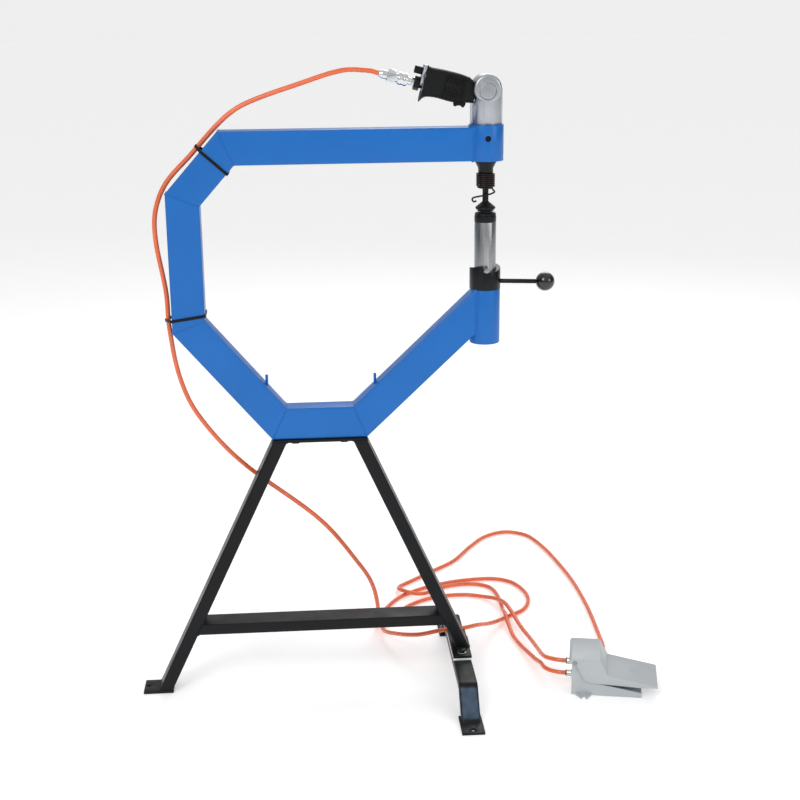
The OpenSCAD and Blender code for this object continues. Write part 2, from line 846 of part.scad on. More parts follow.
// Height of the cam at an angle measured from a notch
function cam_height(a) =
    let (b = a % 180)
    b > cam_step ? cam_low : cam_low + min(b, cam_ramp) / cam_ramp * cam_rise;

// Angles of the cam's sections: both sides of each step are kept
cam_angles = [for (half = [0, 180])
    for (b = concat([for (k = [0:26]) 6 * k], [cam_step, cam_step + 0.4])) half + b];

// Everything above the cam surface, as one ring
module cam_cut() {
    inner = post_r - 4;
    outer = cam_r + 4;
    top = cam_top + 5;
    n = len(cam_angles);
    points = [for (a = cam_angles)
        for (q = [[inner, cam_height(a)], [outer, cam_height(a)], [outer, top], [inner, top]])
            [q[0] * cos(a), q[0] * sin(a), q[1]]];
    faces = [for (i = [0:n - 1])
        for (k = [0:3])
            [4 * i + k, 4 * i + (k + 1) % 4, 4 * ((i + 1) % n) + (k + 1) % 4, 4 * ((i + 1) % n) + k]];
    triangles = [for (f = faces)
        for (t = [[f[0], f[1], f[2]], [f[0], f[2], f[3]]]) t];
    polyhedron(points, triangles);
}

module cam_collar() {
    color("#1a1b1d")
    difference() {
        on_axis(cam_z) cylinder(r = cam_r, h = cam_top - cam_z);
        on_axis(cam_z - 1) cylinder(r = post_r + run_gap, h = cam_top - cam_z + 2);
        on_axis() rotate([0, 0, -90]) cam_cut();
        on_axis(rod_z) rotate([0, 90, rod_turn]) cylinder(r = rod_r + 0.03, h = cam_r + 4, $fn = 32);
    }
}

module handle_rod() {
    color("#1f2123")
        on_axis(rod_z) rotate([0, 90, rod_turn])
            translate([0, 0, cam_r - 6]) cylinder(r = rod_r, h = rod_reach - cam_r, $fn = 32);
}

module ball_knob() {
    color("#151617")
    difference() {
        on_axis(rod_z) rotate([0, 90, rod_turn]) translate([0, 0, rod_reach]) sphere(r = ball_r);
        on_axis(rod_z) rotate([0, 90, rod_turn]) translate([0, 0, rod_reach - ball_r - 4])
            cylinder(r = rod_r + 0.03, h = ball_r - 2, $fn = 32);
    }
}

// Foot valve --------------------------------------------------------------------

module cheek_outline() {
    polygon([[base_m, 0], [base_m, pivot_z + 3.8], [pivot_s + 5, pivot_z + 3.8], [30, 40], [42, 24.4],
        [127, 8.7], [127, 0]]);
}

module mounting_ear(m, side) {
    on_pedal(0, m, 0)
        difference() {
            linear_extrude(3) polygon([[10, 0], [21, side * 16], [32, side * 16], [40, 0]]);
            translate([26, side * 16, -1]) cylinder(r = 3, h = 5, $fn = 32);
            translate([26, side * 11, -1]) cylinder(r = 3, h = 5, $fn = 32);
            translate([23, side * 13.5 - 2.5, -1]) cube([6, 5, 5]);
        }
}

module pedal_base() {
    color("#8f938e")
    difference() {
        union() {
            on_pedal(base_m, base_m, 0) cube([127 - base_m, base_w, base_floor]);
            pedal_slab(base_m, base_wall) cheek_outline();
            pedal_slab(base_m + base_w - base_wall, base_wall) cheek_outline();
            mounting_ear(base_m, -1);
            mounting_ear(base_m + base_w, 1);
            on_pedal(base_m, base_m, 0) cube([base_wall, base_w, 16]);
            on_pedal(spring_s, spool_m, 0) cylinder(r = spring_r - 2.2, h = base_floor + 4, $fn = 32);
        }
        on_pedal(pivot_s, 0, pivot_z) rotate([-90, 0, 0])
            cylinder(r = pivot_r + 0.02, h = cover_w, $fn = 32);
        on_pedal(side_port_s, cover_w / 2, side_port_z) rotate([-90, 0, 0])
            cylinder(r = 6.2, h = cover_w, $fn = 32);
    }
}

// Cover: hood over the valve, then the treadle down to the tip
hood_z = 70;
fold = [67, 41.5];
tip = [154, 24.5];

module cover_outline() {
    polygon([[0, 60.5], [-1.5, 64], [-0.5, 67.5], [3, hood_z], [52, hood_z], fold, tip,
        [154, 21.4], [125.7, 20.9], [40.8, 25.2], [26.6, 28.7], [16.5, 49], [13, 57], [6, 60.5]]);
}

module cover_room() {
    drop = cover_wall / cos(atan((fold[1] - tip[1]) / (tip[0] - fold[0])));
    polygon([[1.5, 40], [1.5, hood_z - cover_wall], [50.3, hood_z - cover_wall],
        [fold[0] - 1.6, fold[1] - cover_wall + 0.4], [151, 25.1 - drop + 0.59], [151, 0], [1.5, 0]]);
}

module pedal_cover() {
    eye_r = pivot_r + 3.5;
    color("#a5acb4")
    difference() {
        union() {
            difference() {
                pedal_slab(0, cover_w) cover_outline();
                pedal_slab(cover_wall, cover_w - 2 * cover_wall) cover_room();
            }
            pedal_slab(0, cover_wall)
                translate([pivot_s, pivot_z]) circle(r = eye_r, $fn = 48);
            pedal_slab(cover_w - cover_wall, cover_wall)
                translate([pivot_s, pivot_z]) circle(r = eye_r, $fn = 48);
            on_pedal(spool_s, spool_m, valve_z + 3 + seat_gap) cylinder(r = 5, h = hood_z - valve_z - 5, $fn = 32);
            on_pedal(spring_s, spool_m, spring_top + seat_gap) cylinder(r = spring_r + 2, h = 3, $fn = 32);
        }
        on_pedal(pivot_s, -1, pivot_z) rotate([-90, 0, 0])
            cylinder(r = pivot_r + run_gap, h = cover_w + 2, $fn = 32);
    }
}

module pedal_pin() {
    color("#9a9da0")
    on_pedal(pivot_s, -1.2, pivot_z) rotate([-90, 0, 0])
        union() {
            cylinder(r = pivot_r, h = cover_w + 2.4, $fn = 32);
            cylinder(r = pivot_r + 1.3, h = 0.9, $fn = 32);
            translate([0, 0, cover_w + 1.5]) cylinder(r = pivot_r + 1.3, h = 0.9, $fn = 32);
        }
}

function spring_coil(turns, steps, r, z0, z1) = [for (i = [0:turns * steps])
    let (a = 360 * i / steps, f = i / (turns * steps))
    [r * cos(a), r * sin(a), z0 + (z1 - z0) * f]];

module pedal_spring() {
    half = spring_wire / 2;
    color("#c7cacd")
    on_pedal(spring_s, spool_m, 0)
        wire_tube(spring_coil(5, 14, spring_r - half, base_floor + half + 0.1, spring_top - half), half, 6);
}

module valve_body() {
    color("#b5b8ba")
    difference() {
        on_pedal(valve_s, valve_near, base_floor)
            cube([valve_len, valve_far - valve_near, valve_z - base_floor]);
        rear_ports() rotate([0, 90, 0]) cylinder(r = 6.02, h = port_thread);
        rear_ports() rotate([0, 90, 0]) cylinder(r = 2.5, h = valve_len - 9, $fn = 32);
        on_pedal(side_port_s, valve_far - port_thread, side_port_z) rotate([-90, 0, 0])
            cylinder(r = 6.02, h = port_thread + 1);
        on_pedal(spool_s, spool_m, base_floor + 6) cylinder(r = spool_r + run_gap, h = valve_z, $fn = 32);
        on_pedal(valve_s - 1, supply_m, supply_z) rotate([0, 90, 0]) cylinder(r = supply_r, h = 10);
    }
}

module valve_spool() {
    color("#c9ccd0")
        on_pedal(spool_s, spool_m, base_floor + 10)
            cylinder(r = spool_r, h = valve_z + 3 - base_floor - 10, $fn = 32);
}

// A push-in fitting along its own X: shoulder at x = 0, hose mouth at x = -len, and a
// threaded tail that reaches into the valve
module push_fitting(len, tail) {
    rotate([0, -90, 0])
        difference() {
            union() {
                cylinder(r = 7, h = 5, $fn = 6);
                cylinder(r = 6, h = len - 2.2, $fn = 48);
                translate([0, 0, -tail]) cylinder(r = 6, h = tail, $fn = 48);
            }
            translate([0, 0, -tail - 1]) cylinder(r = 2.5, h = tail + len, $fn = 32);
            translate([0, 0, 5]) cylinder(r = hose_r + 0.3, h = len, $fn = 32);
        }
}

module push_ring(len) {
    rotate([0, -90, 0])
        difference() {
            translate([0, 0, len - 2.2]) cylinder(r = 5.2, h = 2.2, $fn = 48);
            translate([0, 0, len - 3]) cylinder(r = 2.4, h = 4, $fn = 32);
        }
}

module rear_ports() {
    for (z = [port_upper, port_lower])
        on_pedal(valve_s, port_m, z) children();
}

module side_port() {
    on_pedal(side_port_s, base_m + base_w, side_port_z) rotate([0, 0, -90]) children();
}

module port_fittings() {
    color("#b9a777") {
        rear_ports() push_fitting(port_len, port_thread);
        side_port() push_fitting(port_len, base_m + base_w - valve_far + port_thread);
    }
}

module release_rings() {
    color("#26282b") {
        rear_ports() push_ring(port_len);
        side_port() push_ring(port_len);
    }
}

// Cable ties --------------------------------------------------------------------

// A band round the frame tube and the hose beside it. The band lies square to the
// tube, which starts at the point at and points along tilt; the hose runs past at reach.
module tie_band(at, tilt, reach, skew) {
    band = 4.8;
    thick = 1.4;
    wide = tube_w / cos(skew);
    translate([at[0], 0, at[1]]) rotate([0, tilt + skew, 0])
        translate([0, 0, -band / 2]) {
            linear_extrude(band)
                difference() {
                    tie_outline(wide, reach, 0.3 + thick);
                    tie_outline(wide, reach, 0.3);
                }
            translate([wide - 20, tube_d / 2 + 0.3 + thick, -0.8]) cube([8, 4.5, 6.4]);
        }
}

module tie_outline(wide, reach, d) {
    hull() {
        translate([-d, -tube_d / 2 - d]) square([wide + 2 * d, tube_d + 2 * d]);
        translate([-reach, 0]) circle(r = hose_r + 0.4 + d, $fn = 24);
    }
}

module cable_ties() {
    upper_at = (path[1] + path[2]) / 2;
    upper_tilt = atan(upper_drop / (upper_run - 1));
    color("#141516") {
        tie_band(upper_at + [17, 18], 90 - upper_tilt, 7.4, 0);
        tie_band([column_x, rail_z + knee_rise + 22], 0, 6.6, -8);
    }
}

// Hoses -------------------------------------------------------------------------

function unit(v) = v / norm(v);

// Direction of a route at point i
function tangent(p, i) = unit(p[min(i + 1, len(p) - 1)] - p[max(i - 1, 0)]);

// A side vector carried along the route without twisting
function carry(side, t) = unit(side - (side * t) * t);
function sides(p) = [for (i = 0, n = carry([0, 1, 0.01], tangent(p, 0)); i < len(p);
    i = i + 1, n = carry(n, tangent(p, min(i, len(p) - 1)))) n];

// A round tube of radius r through the points p, with n flat sides
module wire_tube(p, r, n) {
    side = sides(p);
    last = len(p) - 1;
    points = [for (i = [0:last])
        let (t = tangent(p, i), u = side[i], v = cross(t, u))
        for (k = [0:n - 1]) p[i] + r * (cos(360 * k / n) * u + sin(360 * k / n) * v)];
    wall = [for (i = [0:last - 1])
        for (k = [0:n - 1])
            for (f = [[n * i + k, n * i + n + k, n * i + n + (k + 1) % n],
                [n * i + k, n * i + n + (k + 1) % n, n * i + (k + 1) % n]]) f];
    ends = [[for (k = [0:n - 1]) k], [for (k = [n - 1:-1:0]) n * last + k]];
    polyhedron(points, concat(wall, ends));
}

module hose_main() {
    color("#d75f3c") wire_tube(main_points, hose_r, hose_sides);
}

module hose_loop() {
    color("#d75f3c") wire_tube(loop_points, hose_r, hose_sides);
}

upper_holder();
top_beam();
upper_rear_brace();
rear_column();
lower_rear_brace();
base_rail();
front_brace();
anvil_socket();
die_pegs();
stand_top_plate();
rear_leg();
front_leg();
crossbar();
rear_foot_plate();
front_leg_plate();
leg_shim();
front_foot_bar();
foot_pads();
foot_bolts();
foot_washers();
foot_nuts();
frame_bolts();
hammer_housing();
hammer_cylinder();
piston();
valve_block();
head_plug();
grip_sleeve();
handle_end_plate();
trigger();
throttle_valve();
regulator_knob();
inlet_bushing();
coupler_nipple();
coupler_body();
coupler_sleeve();
hose_nut();
retainer_spring();
upper_die();
holder_screw();
anvil_post();
cross_pin();
cam_collar();
handle_rod();
ball_knob();
lower_die();
pedal_base();
pedal_cover();
pedal_pin();
pedal_spring();
valve_body();
valve_spool();
port_fittings();
release_rings();
cable_ties();
hose_main();
hose_loop();
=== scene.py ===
import json
import math

import bmesh
import bpy
from mathutils import Matrix, Vector, noise


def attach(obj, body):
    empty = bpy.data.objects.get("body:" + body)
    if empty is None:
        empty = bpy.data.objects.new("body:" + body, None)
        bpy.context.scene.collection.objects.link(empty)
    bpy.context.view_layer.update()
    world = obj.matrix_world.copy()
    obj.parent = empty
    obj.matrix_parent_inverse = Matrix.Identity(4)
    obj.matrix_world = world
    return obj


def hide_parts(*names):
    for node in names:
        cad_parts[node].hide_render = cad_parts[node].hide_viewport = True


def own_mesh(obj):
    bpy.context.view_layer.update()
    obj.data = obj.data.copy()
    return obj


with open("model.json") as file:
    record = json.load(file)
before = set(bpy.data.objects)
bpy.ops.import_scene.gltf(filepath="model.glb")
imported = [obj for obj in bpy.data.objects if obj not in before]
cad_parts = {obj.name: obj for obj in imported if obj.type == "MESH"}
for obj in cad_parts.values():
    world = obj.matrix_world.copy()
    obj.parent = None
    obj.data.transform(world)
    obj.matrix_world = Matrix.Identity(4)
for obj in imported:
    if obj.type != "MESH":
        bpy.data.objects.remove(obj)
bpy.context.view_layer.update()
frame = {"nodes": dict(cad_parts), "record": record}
NODES = frame["nodes"]
MM = 0.001

# Camera ------------------------------------------------------------------------

CAMERA_AT = (-0.2665, -2.2810, 1.1976)
LENS, SENSOR = 62.33, 36
pitch, yaw, roll = 0.2852, -0.0714, -0.0101

level = Vector((math.cos(yaw), math.sin(yaw), 0))
forward = Vector((-math.sin(yaw) * math.cos(pitch), math.cos(yaw) * math.cos(pitch),
                  -math.sin(pitch)))
upward = level.cross(forward)
right = math.cos(roll) * level + math.sin(roll) * upward
up = -math.sin(roll) * level + math.cos(roll) * upward
camera = bpy.data.objects.new("camera", bpy.data.cameras.new("camera"))
camera.data.sensor_width = SENSOR
camera.data.lens = LENS
camera.data.clip_end = 100
camera.matrix_world = Matrix.Translation(CAMERA_AT) @ Matrix(
    (right, up, -forward)).transposed().to_4x4()
bpy.context.scene.collection.objects.link(camera)
bpy.context.scene.camera = camera
bpy.context.scene.view_settings.view_transform = "Standard"

# Materials ---------------------------------------------------------------------

NOISE_LOW, NOISE_HIGH = 0.3, 0.7   # nearly all of a noise texture's values lie between these
GLOSS_PATCHES = 5                  # patches of gloss to one patch of colour
RELIEF = 0.6                       # strength of the fine grain


class Graph:
    """Short ways to add shader nodes. An input is a value, or a socket to link it from."""

    def __init__(self, owner):
        self.nodes, self.links = owner.node_tree.nodes, owner.node_tree.links

    def put(self, node, name, value):
        if isinstance(value, bpy.types.NodeSocket):
            self.links.new(value, node.inputs[name])
        else:
            node.inputs[name].default_value = value

    def add(self, kind, inputs=None, **settings):
        node = self.nodes.new("ShaderNode" + kind)
        for name, value in settings.items():
            setattr(node, name, value)
        for name, value in (inputs or {}).items():
            self.put(node, name, value)
        return node

    def maths(self, operation, *values, clamp=False):
        inputs = dict(enumerate(values))
        return self.add("Math", inputs, operation=operation, use_clamp=clamp).outputs[0]

    def noise(self, place, scale, detail=2.0):
        return self.add("TexNoise", {"Vector": place, "Scale": scale, "Detail": detail}).outputs[0]

    def span(self, value, low, high, to_low, to_high):
        """The value with low..high brought to to_low..to_high, and held beyond them."""
        return self.add("MapRange", {"Value": value, "From Min": low, "From Max": high,
                                     "To Min": to_low, "To Max": to_high}).outputs[0]

    def blend(self, share, a, b, kind="RGBA"):
        mix = self.add("Mix", {"Factor": share, "A": a, "B": b}, data_type=kind)
        return mix.outputs["Result"]


def linear(rgb):
    """A colour of 0 to 255 as linear light, with alpha."""
    parts = [c / 255 for c in rgb]
    return [c / 12.92 if c <= 0.04045 else ((c + 0.055) / 1.055) ** 2.4 for c in parts] + [1]


def material(name, rgb, rough, metal=0.0, vary=0.08, grain=(300, 0.0001), stretch=(1, 1, 1),
             patch=6, rough_vary=0.08, coat=0.0, coat_rough=0.1, extra=None, spot=None):
    """A surface with uneven colour and gloss and a fine relief.

    patch is the noise scale of the colour's changes, and vary and rough_vary say how far the
    colour and the gloss change. grain is the relief's (noise scale, depth in m). spot is the
    flecks' (noise scale, rgb, share).
    """
    m = bpy.data.materials.new(name)
    m.use_nodes = True
    g = Graph(m)
    place = g.add("Mapping", {"Vector": g.add("TexCoord").outputs["Object"],
                              "Scale": stretch}).outputs[0]

    def cloud(scale, low, high, detail=4.0):
        return g.span(g.noise(place, scale, detail), NOISE_LOW, NOISE_HIGH, low, high)

    base = linear(rgb)
    dark = [c * (1 - vary) for c in base[:3]] + [1]
    light = [min(1, c * (1 + vary)) for c in base[:3]] + [1]
    colour = g.blend(cloud(patch, 0, 1), dark, light)
    if spot:
        scale, fleck_rgb, share = spot
        colour = g.blend(cloud(scale, -share, share, 2.0), colour, linear(fleck_rgb))
    grain_scale, depth = grain
    bump = g.add("Bump", {"Strength": RELIEF, "Distance": depth,
                          "Height": g.noise(place, grain_scale, 4.0)})
    for socket, value in {
        "Base Color": colour,
        "Metallic": metal,
        "Roughness": cloud(patch * GLOSS_PATCHES, rough - rough_vary, rough + rough_vary),
        "Coat Weight": coat,
        "Coat Roughness": coat_rough,
        "Normal": bump.outputs[0],
        **(extra or {}),
    }.items():
        g.put(g.nodes["Principled BSDF"], socket, value)
    return m


MATERIALS = {
    "blue_paint": material("blue_paint", (22, 104, 184), 0.36, vary=0.06, grain=(420, 0.00012),
                           coat=0.14, coat_rough=0.2, extra={"Specular IOR Level": 0.25}),
    "black_paint": material("black_paint", (15, 16, 19), 0.4, vary=0.15, grain=(900, 0.00012),
                            coat=0.04, coat_rough=0.3, extra={"Specular IOR Level": 0.2}),
    "zinc_plate": material("zinc_plate", (205, 208, 210), 0.36, metal=1.0, grain=(700, 0.00006)),
    "black_oxide": material("black_oxide", (22, 23, 25), 0.34, metal=0.35, vary=0.2,
                            grain=(600, 0.00008), extra={"Specular IOR Level": 0.3}),
    "ground_steel": material("ground_steel", (158, 160, 162), 0.3, metal=1.0, vary=0.3,
                             stretch=(1, 1, 0.08), patch=60, grain=(900, 0.00008),
                             extra={"Anisotropic": 0.5}),
    "spring_steel": material("spring_steel", (44, 36, 34), 0.34, metal=0.8, vary=0.2,
                             grain=(500, 0.00006)),
    "cast_aluminium": material("cast_aluminium", (180, 183, 189), 0.36, metal=1.0, vary=0.12,
                               patch=14, grain=(800, 0.0001)),
    "pedal_paint": material("pedal_paint", (176, 181, 184), 0.46, vary=0.05, grain=(700, 0.00015),
                            coat=0.2, coat_rough=0.3, spot=(1500, (196, 200, 203), 0.25)),
    "valve_aluminium": material("valve_aluminium", (176, 178, 180), 0.4, metal=1.0,
                                grain=(500, 0.0001)),
    "grip_rubber": material("grip_rubber", (15, 16, 17), 0.55, vary=0.2, grain=(1100, 0.00015),
                            extra={"Specular IOR Level": 0.2}),
    "black_plastic": material("black_plastic", (15, 16, 17), 0.4, vary=0.1, grain=(900, 0.00008),
                              extra={"Specular IOR Level": 0.2}),
    "ball_plastic": material("ball_plastic", (8, 9, 10), 0.13, vary=0.1, rough_vary=0.04,
                             grain=(160, 0.00005), coat=0.6, coat_rough=0.05),
    "chrome_plate": material("chrome_plate", (218, 220, 222), 0.13, metal=1.0, rough_vary=0.05,
                             grain=(300, 0.00003)),
    "brass": material("brass", (188, 184, 172), 0.28, metal=1.0, grain=(400, 0.00005)),
    "hose_polyurethane": material("hose_polyurethane", (230, 108, 62), 0.3, vary=0.07, patch=30,
                                  grain=(500, 0.00006), coat=0.3, coat_rough=0.15,
                                  extra={"Subsurface Weight": 0.15, "Subsurface Scale": 0.003}),
}


def painted_sheen(name, base, rgb, low, high, half):
    """A copy of a paint with a painted sheen of rgb, a painted reflection, from low to high and
    within half of X = 0, all in m.
    """
    edge, ragged = 0.004, 0.002
    mottle_scale, least_share = 70, 0.25
    m = MATERIALS[base].copy()
    m.name = name
    g = Graph(m)
    place = g.add("TexCoord").outputs["Object"]
    split = g.add("SeparateXYZ", {0: place}).outputs
    # Noise that mottles the painted sheen and makes its edges ragged
    mottle = g.noise(place, mottle_scale)

    def soft_edge(distance):
        uneven = g.maths("ADD", distance, g.maths("MULTIPLY", mottle, ragged))
        return g.maths("MULTIPLY", uneven, 1 / edge, clamp=True)

    across = soft_edge(g.maths("SUBTRACT", half, g.maths("ABSOLUTE", split["X"])))
    above = soft_edge(g.maths("SUBTRACT", split["Z"], low))
    below = soft_edge(g.maths("SUBTRACT", high, split["Z"]))
    patch = g.maths("MULTIPLY", g.maths("MULTIPLY", across, above), below)
    share = g.maths("MULTIPLY", patch, g.maths("ADD", mottle, least_share))
    base_colour = g.nodes["Principled BSDF"].inputs["Base Color"]
    g.links.new(g.blend(share, base_colour.links[0].from_socket, linear(rgb)), base_colour)
    return m


# The foot bar's sloped faces get a painted sheen: blue-grey painted into the black paint for the
# sky reflected there
MATERIALS["black_paint_painted_sheen"] = painted_sheen("black_paint_painted_sheen", "black_paint", (74, 92, 112),
                                     low=0.0085, high=0.051, half=0.0148)
# Nearly white zinc: a painted highlight for the shim's lit front edge
MATERIALS["zinc_with_painted_highlight"] = material("zinc_with_painted_highlight", (240, 241, 242), 0.5, metal=0.2, vary=0.04,
                                    grain=(700, 0.00006))

# The slot of each of the CAD's nodes
SLOTS = {
    "blue_paint": "upper_holder anvil_socket die_pegs top_beam upper_rear_brace rear_column "
                  "lower_rear_brace base_rail front_brace",
    "black_paint": "stand_top_plate rear_leg front_leg crossbar rear_foot_plate front_leg_plate "
                   "front_foot_bar foot_pads",
    "zinc_plate": "leg_shim foot_washers foot_nuts",
    "black_oxide": "foot_bolts frame_bolts holder_screw hammer_cylinder upper_die lower_die "
                   "cam_collar handle_rod inlet_bushing",
    "ground_steel": "anvil_post cross_pin piston valve_block pedal_pin valve_spool",
    "spring_steel": "retainer_spring",
    "cast_aluminium": "hammer_housing head_plug handle_end_plate",
    "pedal_paint": "pedal_cover pedal_base",
    "valve_aluminium": "valve_body",
    "grip_rubber": "grip_sleeve",
    "black_plastic": "trigger regulator_knob release_rings cable_ties",
    "ball_plastic": "ball_knob",
    "chrome_plate": "coupler_nipple coupler_body coupler_sleeve hose_nut pedal_spring",
    "brass": "throttle_valve port_fittings",
    "hose_polyurethane": "hose_main hose_loop",
}
SLOT_OF = {n: s for s, names in SLOTS.items() for n in names.split()}
BODY_OF = {n: b for b, names in frame["record"]["behaviour"]["bodies"].items() for n in names}
for n, s in SLOT_OF.items():
    NODES[n].data.materials.clear()
    NODES[n].data.materials.append(MATERIALS[s])

# Building pieces ---------------------------------------------------------------


def finish_piece(obj, node, replaces=True):
    """Links a piece, gives it the node's finish and body, and lets it stand for the node."""
    if obj.name not in bpy.context.scene.collection.objects:
        bpy.context.scene.collection.objects.link(obj)
    slot = SLOT_OF[node]
    obj.data.materials.clear()
    obj.data.materials.append(MATERIALS[slot])
    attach(obj, BODY_OF[node])
    if replaces:
        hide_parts(node)
    return obj


def piece_from(bm, name, sharp=40):
    """A smooth object from a bmesh, with its edges of more than sharp degrees kept crisp."""
    bmesh.ops.recalc_face_normals(bm, faces=bm.faces[:])
    for f in bm.faces:
        f.smooth = True
    mesh = bpy.data.meshes.new(name)
    bm.to_mesh(mesh)
    bm.free()
    mesh.set_sharp_from_angle(angle=math.radians(sharp))
    return bpy.data.objects.new(name, mesh)


def soften(node, width, segments=2, angle=30):
    """The CAD node's shape with its edges rounded to a width in mm, as a piece of its own."""
    same_place, same_plane = 2e-6, math.radians(0.6)
    source = NODES[node].data
    bm = bmesh.new()
    verts = [bm.verts.new(v.co) for v in source.vertices]
    for p in source.polygons:
        corners = [verts[i] for i in p.vertices]
        if len(set(corners)) == len(corners):
            bm.faces.new(corners)
    bmesh.ops.remove_doubles(bm, verts=bm.verts[:], dist=same_place)
    bmesh.ops.dissolve_limit(bm, angle_limit=same_plane, verts=bm.verts[:], edges=bm.edges[:])
    edges = [e for e in bm.edges if len(e.link_faces) == 2
             and e.calc_face_angle(0) > math.radians(angle)]
    bmesh.ops.bevel(bm, geom=edges, offset=width * MM, segments=segments, profile=0.5,
                    affect="EDGES", clamp_overlap=True)
    bmesh.ops.triangulate(bm, faces=[f for f in bm.faces if len(f.verts) > 4])
    return finish_piece(piece_from(bm, node + "_soft"), node)


def rounded(width, depth, radius, steps=5):
    """Points (across, y) round a rectangle 0..width by -depth/2..depth/2 with rounded corners."""
    near, far, side = radius, width - radius, depth / 2 - radius
    points = []
    for cx, cy, start in ((far, side, 0), (near, side, 90), (near, -side, 180), (far, -side, 270)):
        for k in range(steps + 1):
            a = math.radians(start + 90 * k / steps)
            points.append((cx + radius * math.cos(a), cy + radius * math.sin(a)))
    return points


def skin(bm, rows, capped=True):
    """Faces between rows of vertices that each run round once."""
    for a, b in zip(rows, rows[1:]):
        for i in range(len(a)):
            j = (i + 1) % len(a)
            bm.faces.new((a[i], a[j], b[j], b[i]))
    if capped:
        bm.faces.new(rows[0])
        bm.faces.new(rows[-1][::-1])


def loft(name, rings):
    """A closed skin over rings of points in mm."""
    bm = bmesh.new()
    skin(bm, [[bm.verts.new(Vector(p) * MM) for p in ring] for ring in rings])
    return piece_from(bm, name)


def tube_mesh(name, points, radius, sides=12, closed=False, uneven=0.0):
    """A round tube through points in mm. Its radius may be uneven, as a weld bead's is."""
    lumps = 0.35  # per mm
    points = [Vector(p) for p in points]
    n = len(points)
    bm = bmesh.new()
    rows = []
    side = Vector((0.13, 0.91, 0.4))  # no tube starts along this
    for i, p in enumerate(points):
        before, after = (points[i - 1], points[(i + 1) % n]) if closed else (
            points[max(i - 1, 0)], points[min(i + 1, n - 1)])
        t = (after - before).normalized()
        side = (side - side.dot(t) * t).normalized()
        other = t.cross(side)
        r = radius * (1 + uneven * noise.noise(p * lumps))
        rows.append([bm.verts.new((p + r * (math.cos(a) * side + math.sin(a) * other)) * MM)
                     for a in (2 * math.pi * k / sides for k in range(sides))])
    if closed:
        shift = min(range(sides), key=lambda k: (rows[-1][0].co - rows[0][k].co).length)
        rows.append(rows[0][shift:] + rows[0][:shift])
    skin(bm, rows, capped=not closed)
    return piece_from(bm, name, 60)


def resampled(points, step=1.5):
    """A closed ring of points at equal steps along its length."""
    points = [Vector(p) for p in points]
    out = []
    for a, b in zip(points, points[1:] + points[:1]):
        count = max(1, round((b - a).length / step))
        out += [a.lerp(b, k / count) for k in range(count)]
    return out


def weld(name, ring, node, radius):
    """A weld bead along a closed ring."""
    bead = tube_mesh(name, resampled(ring), radius, 10, closed=True, uneven=0.45)
    return finish_piece(bead, node, replaces=False)


# Frame -------------------------------------------------------------------------

THROAT, STAND_H, FRAME_H, TUBE_W, TUBE_D = 470, 468, 521, 55, 40
TUBE_ROUND = 3.5
AXIS_X = 42                              # the hammer's and the anvil's axis
UPPER_RUN, UPPER_DROP = 89, 99           # slope of the upper rear corner
KNEE_RISE = 190                          # the column's foot above the rail
FRONT_SLOPE, REAR_SLOPE = math.radians(43.5), math.radians(50)
HOLDER_R, SOCKET_R = 28.96, 25.56
SOCKET_RISE, SOCKET_H = 159, 93
BRACE_DROP = 7                           # from the socket's top to the front brace's
SUNK = 1                                 # of the tubes' ends in the holder and the socket
JOINT_BEAD, ROUND_BEAD = 0.9, 1.7        # weld radii at the mitres, and at the holder and socket

beam_top = STAND_H + FRAME_H
beam_z = beam_top - TUBE_W
socket_top = STAND_H + SOCKET_RISE + SOCKET_H
column_x = AXIS_X - THROAT - TUBE_W
rail_left = column_x + KNEE_RISE / math.tan(REAR_SLOPE)
brace_foot = socket_top - BRACE_DROP - TUBE_W / math.cos(FRONT_SLOPE)
rail_right = AXIS_X - SOCKET_R - (brace_foot - STAND_H) / math.tan(FRONT_SLOPE)
# The frame's outer line (x, z), from the holder round to the socket
path = [Vector(p) for p in (
    (AXIS_X, beam_top), (column_x + UPPER_RUN, beam_top), (column_x, beam_top - UPPER_DROP),
    (column_x, STAND_H + KNEE_RISE), (rail_left, STAND_H), (rail_right, STAND_H),
    (AXIS_X, STAND_H + (AXIS_X - rail_right) * math.tan(FRONT_SLOPE)))]
LAST = len(path) - 1
SECTION = rounded(TUBE_W, TUBE_D, TUBE_ROUND)


def inward(i):
    """The direction (x, z) from the outer line into the frame, on the stretch after corner i."""
    d = (path[i + 1] - path[i]).normalized()
    return Vector((-d[1], d[0]))


def corner(i, d):
    """The place (x, z) in corner i's mitre at a depth d below the outer line."""
    if i == 0:
        return path[0] - Vector((0, d))
    if i == LAST:
        return path[i] + Vector((0, d / math.cos(FRONT_SLOPE)))
    a, b = inward(i - 1), inward(i)
    return path[i] + d * (a + b) / (1 + a.dot(b))


def frame_ring(i, sunk=0.0):
    """The tube's section in the plane of corner i, or where it meets the holder or the socket."""
    ring = []
    for d, y in SECTION:
        x, z = corner(i, d)
        if i == 0:
            x = AXIS_X - math.sqrt((HOLDER_R - sunk) ** 2 - y * y)
        elif i == LAST:
            x = AXIS_X - math.sqrt((SOCKET_R - sunk) ** 2 - y * y)
            z -= (AXIS_X - x) * math.tan(FRONT_SLOPE)
        ring.append((x, y, z))
    return ring


for i, node in enumerate(("top_beam", "upper_rear_brace", "rear_column", "lower_rear_brace",
                          "base_rail", "front_brace")):
    finish_piece(loft(node + "_tube", [frame_ring(i, SUNK), frame_ring(i + 1, SUNK)]), node)
    weld(f"frame_weld_{i}", frame_ring(i), node, ROUND_BEAD if i == 0 else JOINT_BEAD)
weld("socket_weld", frame_ring(LAST), "anvil_socket", ROUND_BEAD)

# Stand -------------------------------------------------------------------------

